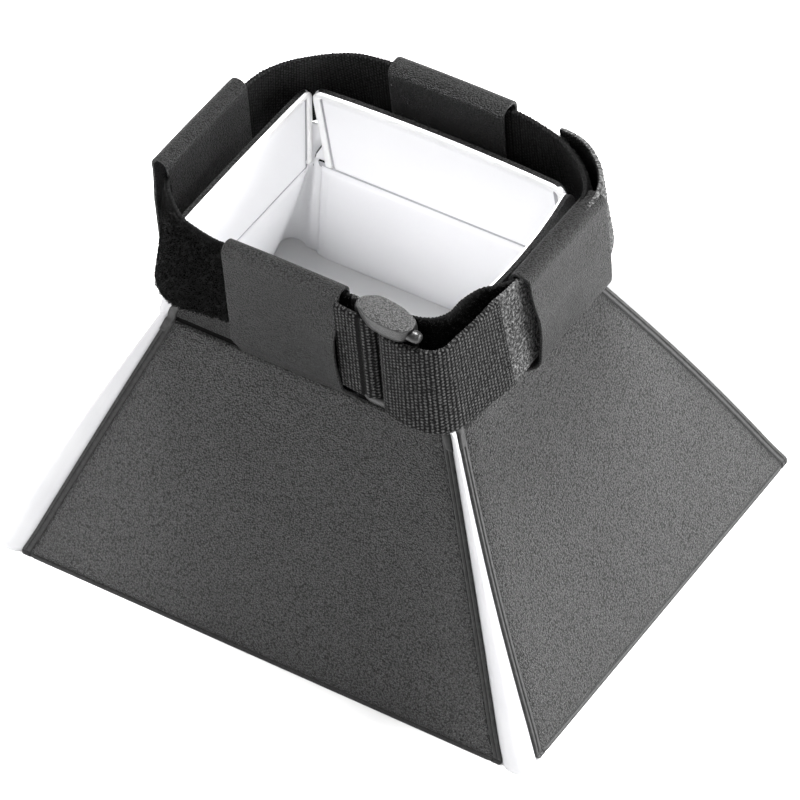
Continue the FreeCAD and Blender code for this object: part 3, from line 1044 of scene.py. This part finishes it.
def add_tape(name, ride, path, radii, kind, outward, seed, node=None, **details):
    """A strap length on its body, or one lying between two bodies; the places from one to the other, seen
    from above, are not used.
    """
    piece = make_tape(name + "_tape", path, radii, kind, outward, seed, **details)
    slot_name = {"pile": "loop_tape", "ribs": "ribbed_webbing", "hooks": "hook_tape"}[kind]
    if isinstance(ride, str):
        finish_piece(piece, ride, slot_name, node or name)
        return
    first, second, start, end = ride
    start, end = (*start, STRAP_MIDDLE), (*end, STRAP_MIDDLE)
    finish_blend(piece, (first, second), start, end, slot_name, node or name)


def make_strap():
    """All the strap's lengths, in order round the collar."""
    add_tape(
        "strap_front_run", "panel_front",
        [(-19.05, -32.6), (14, -32.6), (15.5, -32.2), (16.55, -32.2)], [0, 2, 2, 0],
        "pile", 1, 1, density=1.0,
    )
    add_tape(
        "strap_anchor", "panel_front",
        [(16.6, -32.2), (24.4, -32.2), (24.4, -37.2), (14.6, -36.2)], [0, 2.35, 2.35, 0],
        "ribs", -1, 2, "strap_anchor_fold", seam=13.4,
    )
    add_tape(
        "strap_left_corner", ("panel_front", "panel_left", (-27, -34), (-43, -23)),
        [(-19.1, -32.6), (-43.4, -32.6), (-43.4, -14.9)], [0, 14.6, 0],
        "pile", -1, 3, density=7.0, leans=((0, 0), (0.55, 2.9), (1, 0)),
    )
    add_tape(
        "strap_left", "panel_left", [(-43.4, -15.0), (-43.4, 9.1)], [0, 0],
        "pile", -1, 4, "strap_left_run", density=1.5,
    )
    add_tape(
        "strap_back_corner", ("panel_left", "panel_back", (-43, 20), (-28, 35)),
        [(-43.4, 9.0), (-43.4, 35.5), (-16.0, 35.5)], [0, 20, 0],
        "pile", -1, 5, density=2.5, leans=((0, 0), (0.5, 3.0), (1, 0)),
    )
    add_tape(
        "strap_back", "strap_back", [(-16.05, 35.5), (16.05, 35.5)], [0, 0],
        "pile", -1, 6, "strap_back_run", density=1.2,
    )
    add_tape(
        "strap_right_corner", ("panel_right", "strap_back", (41.7, 25), (28, 35)),
        [(16.0, 35.5), (44.8, 35.5), (44.9, 17.9)], [0, 16.5, 0],
        "pile", -1, 7, density=2.5, leans=((0, 0), (0.55, 3.0), (1, 0)),
    )
    add_tape(
        "strap_right", "panel_right", [(44.9, 18.0), (44.8, -8.05)], [0, 0],
        "pile", -1, 8, "strap_right_run", density=0.6,
    )
    add_tape(
        "strap_front_corner", ("panel_front", "panel_right", (36, -32.2), (41, -22)),
        [(44.8, -8.0), (44.6, -10.0), (41.6, -16.0), (40.2, -31.3), (29.9, -31.3)], [0, 3, 6, 9.5, 0],
        "pile", -1, 9, density=4.0, leans=((0, 0), (0.45, 2.4), (0.8, 0.2), (1, 0)),
    )
    add_tape(
        "strap_tail", ("panel_front", "panel_right", (36, -39), (44.5, -26)),
        [(30.3, -31.3), (27.6, -31.3), (27.6, -39.1), (35.5, -39.9), (43.6, -38.4), (45.4, -25.0),
         (46.3, -16.4)],
        [0, 2.5, 3.4, 6, 7.5, 10, 0],
        "ribs", 1, 10, sag=0.4, leans=((0, 0), (0.4, 0.4), (0.75, 1.0), (1, 1.5)),
    )
    add_tape(
        "hook_pad", "panel_right",
        [(46.1, -18.6), (46.5, -12), (46.6, 0), (46.6, 20.1)], [0, 8, 12, 0],
        "hooks", 1, 11, density=3.0, seam=0.4, leans=((0, 1.5), (0.3, 0.9), (1, -0.6)),
    )
    add_tape(
        "strap_tip", ("panel_right", "strap_tip", (43.5, 24.8), (44.2, 29)),
        [(46.6, 20.0), (46.2, 36.4), (29.0, 37.3)], [0, 15.9, 0],
        "hooks", 1, 12, density=1.5, leans=((0, -0.6), (0.6, 1.4), (1, 1.4)),
    )


# ---------------- ring


def make_ring():
    """The moulded ring's frame: a rounded rectangle of squarish bar."""
    y = -34.6
    half_bar = 1.45
    squareness = 0.7
    left, right = 20.8, 34.0
    low, high = 73.75, 103.2
    corners = [(left, low), (right, low), (right, high), (left, high)]
    centre_x = (left + right) / 2
    centre_z = (low + high) / 2
    path = []
    radius = 1.6
    for i, (x, z) in enumerate(corners):
        inward = Vector((math.copysign(1, centre_x - x), math.copysign(1, centre_z - z)))
        middle = Vector((x, z)) + inward * radius
        base = math.pi + i * math.pi / 2
        for k in range(7):
            angle = base + math.pi / 2 * k / 6
            path.append(middle + Vector((math.cos(angle), math.sin(angle))) * radius)
    points = []
    sides = 12
    for i, here in enumerate(path):
        ahead = (path[(i + 1) % len(path)] - path[i - 1]).normalized()
        out = Vector((ahead.y, -ahead.x))
        for c, s in circle(sides):
            c = math.copysign(abs(c) ** squareness, c) * half_bar
            s = math.copysign(abs(s) ** squareness, s) * half_bar
            points.append(Vector((here.x + out.x * c, y + s, here.y + out.y * c)))
    total = len(points)
    faces = [tuple(k % total for k in face) for face in tube_faces(0, sides, len(path) + 1)]
    ring = make_piece("slide_ring_frame", points, faces, [PLASTIC])
    finish_piece(ring, "slide_ring", "ring_plastic", "slide_ring")


def rounded_outline(corners):
    """A closed outline whose corners are rounded off."""
    outline = []
    cut, count = 0.3, 4
    for i, corner in enumerate(corners):
        before = Vector(corners[i - 1])
        here = Vector(corner)
        after = Vector(corners[(i + 1) % len(corners)])
        start = here.lerp(before, cut)
        end = here.lerp(after, cut)
        for k in range(count):
            t = k / (count - 1)
            outline.append(start.lerp(here, t).lerp(here.lerp(end, t), t))
    return outline


def make_grip():
    """The ring's grip: a fat bar with a lens-shaped grained top, sheer sides and a small end stub."""
    corners = [
        (21.2, -37.6), (21.9, -34.8), (25.2, -32.8), (31.5, -33.3), (36.6, -35.3), (37.1, -38.2),
        (35.6, -40.4), (31.0, -40.8), (26.0, -40.2),
    ]
    outline = rounded_outline(corners)
    centre = Vector((29.6, -37.0))
    # Heights and the outline's size at each, up the sides and then over the top.
    levels = [(100.9, 0.62), (101.1, 0.76), (101.6, 0.86), (102.7, 0.93), (104.9, 0.985), (105.3, 1.0)]
    top_levels = [(105.5, 0.985), (105.62, 0.93), (105.75, 0.7), (105.8, 0.35)]
    around = len(outline)
    points = []
    for z, share in levels + top_levels:
        for flat in outline:
            spread = centre + (flat - centre) * share
            points.append(Vector((spread.x, spread.y, z - 0.04 * (spread.x - centre.x))))
    faces = [tuple(range(around)), tuple(range(len(points) - around, len(points)))]
    faces += tube_faces(0, around, len(levels) + len(top_levels))
    # Top facets take the lighter material: painted light on the top, besides its grained finish.
    materials = [0, 1] + [0] * around * len(levels) + [1] * around * (len(top_levels) - 1)
    base = len(points)
    stub_radii = [(33.8, 1.5), (37.6, 1.5), (38.3, 1.4), (38.8, 1.15), (39.0, 0.7)]
    stub_y, stub_z = -37.9, 102.9
    sides = 20
    for x, radius in stub_radii:
        points += [Vector((x, stub_y + c * radius, stub_z + s * radius)) for c, s in circle(sides)]
    faces += tube_faces(base, sides, len(stub_radii))
    faces.append(tuple(base + k for k in range(sides)))
    faces.append(tuple(range(len(points) - sides, len(points))))
    materials += [0] * (len(faces) - len(materials))
    grip = make_piece("slide_ring_grip", points, faces, [PLASTIC, PLASTIC_LIT_TOP], materials)
    finish_piece(grip, "slide_ring", "ring_plastic", "slide_ring")


# ---------------- stage


def make_floor():
    """A plain pale floor."""
    size = 4000.0
    corners = [Vector((x * size, y * size, -0.05)) for x, y in ((-1, -1), (1, -1), (1, 1), (-1, 1))]
    material, tree, shader, vector = node_material("floor")
    tone = add_noise(tree, vector, 3.0)
    colour = add_ramp(tree, tone, [(0.0, grey(0.90)), (1.0, grey(0.92))])
    tree.links.new(colour, shader.inputs["Base Color"])
    shader.inputs["Roughness"].default_value = 0.9
    floor = make_piece("floor", corners, [(0, 1, 2, 3)], [material], closed=False)
    floor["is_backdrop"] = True


def aim_light(data, place, target, power):
    """Puts a light at a place in metres and turns it to a target."""
    data.energy = power
    light = add_object(data.name, data)
    light.location = place
    light.rotation_mode = "QUATERNION"
    light.rotation_quaternion = (Vector(target) - Vector(place)).to_track_quat("-Z", "Y")


def add_light(name, place, size, power):
    """A square soft light turned to the part's middle."""
    data = bpy.data.lights.new(name, "AREA")
    data.shape = "SQUARE"
    data.size = size
    aim_light(data, place, (0, 0, 0.05), power)


def add_beam(name, place, target, degrees, power):
    """A narrow soft-edged beam at a target, here through the collar onto the white inside."""
    data = bpy.data.lights.new(name, "SPOT")
    data.spot_size = math.radians(degrees)
    data.spot_blend = 1.0
    data.shadow_soft_size = 0.02
    aim_light(data, place, target, power)


def make_stage():
    """Floor, lights, white surroundings and the camera."""
    make_floor()
    world = bpy.data.worlds.new("studio")
    world.use_nodes = True
    background = world.node_tree.nodes["Background"]
    background.inputs["Color"].default_value = (1.0, 1.0, 1.0, 1.0)
    background.inputs["Strength"].default_value = 0.6
    bpy.context.scene.world = world
    add_light("rim_right", (1.0, 0.5, 0.22), 0.5, 19)
    add_light("top", (-0.1, 0.3, 1.0), 0.35, 32)
    add_light("front", (0.5, -1.0, 0.9), 0.4, 4.2)
    add_beam("inside", (0.33, -0.42, 1.3), (0, 0, 0.092), 2.7, 25)
    bpy.context.scene.view_settings.view_transform = "Standard"

    right = Vector((0.8315, 0.5512, -0.0692))
    up = Vector((-0.3480, 0.6139, 0.7084))
    forward = Vector((-0.4330, 0.5650, -0.7023))
    data = bpy.data.cameras.new("camera")
    data.lens = 289.5
    data.sensor_width = 36.0
    data.clip_end = 20.0
    camera = add_object("camera", data)
    turn = Matrix((right, up, -forward)).transposed().to_4x4()
    camera.matrix_world = Matrix.Translation((0.65837, -0.85576, 1.09683)) @ turn
    bpy.context.scene.camera = camera


for one_side in SIDES.values():
    make_wall(one_side)
    make_flap(one_side)
    make_crease(one_side)
    make_edge_strip(one_side, 1)
    make_edge_strip(one_side, -1)
make_gusset("gusset_front", SIDES["front"], SIDES["right"], ("panel_front", "panel_right"))
make_gusset("gusset_left", SIDES["front"], SIDES["left"], ("panel_front", "panel_left"))
make_gusset("gusset_back", SIDES["back"], SIDES["left"], ("panel_left", "panel_back"))
make_gusset("gusset_right", SIDES["back"], SIDES["right"], ("panel_right", "strap_back"))
make_loop(SIDES["front"], -1.0, 31.0, 35.3, 103.2, (0.3, 3.2), 1.0)
make_loop(SIDES["right"], 7.5, 43.5, 48.6, 101.2, (2.1, 0.7), 2.0)
make_loop(SIDES["back"], 0.0, 31.8, 37.3, 105.5, (0.6, 0.8), 3.0)
make_loop(SIDES["left"], 5.0, 41.7, 45.9, 106.2, (0.4, 1.0), 4.0)
make_strap()
make_ring()
make_grip()
make_stage()

[[list(corner) for corner in box] for box in (CAD_BOX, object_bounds())]
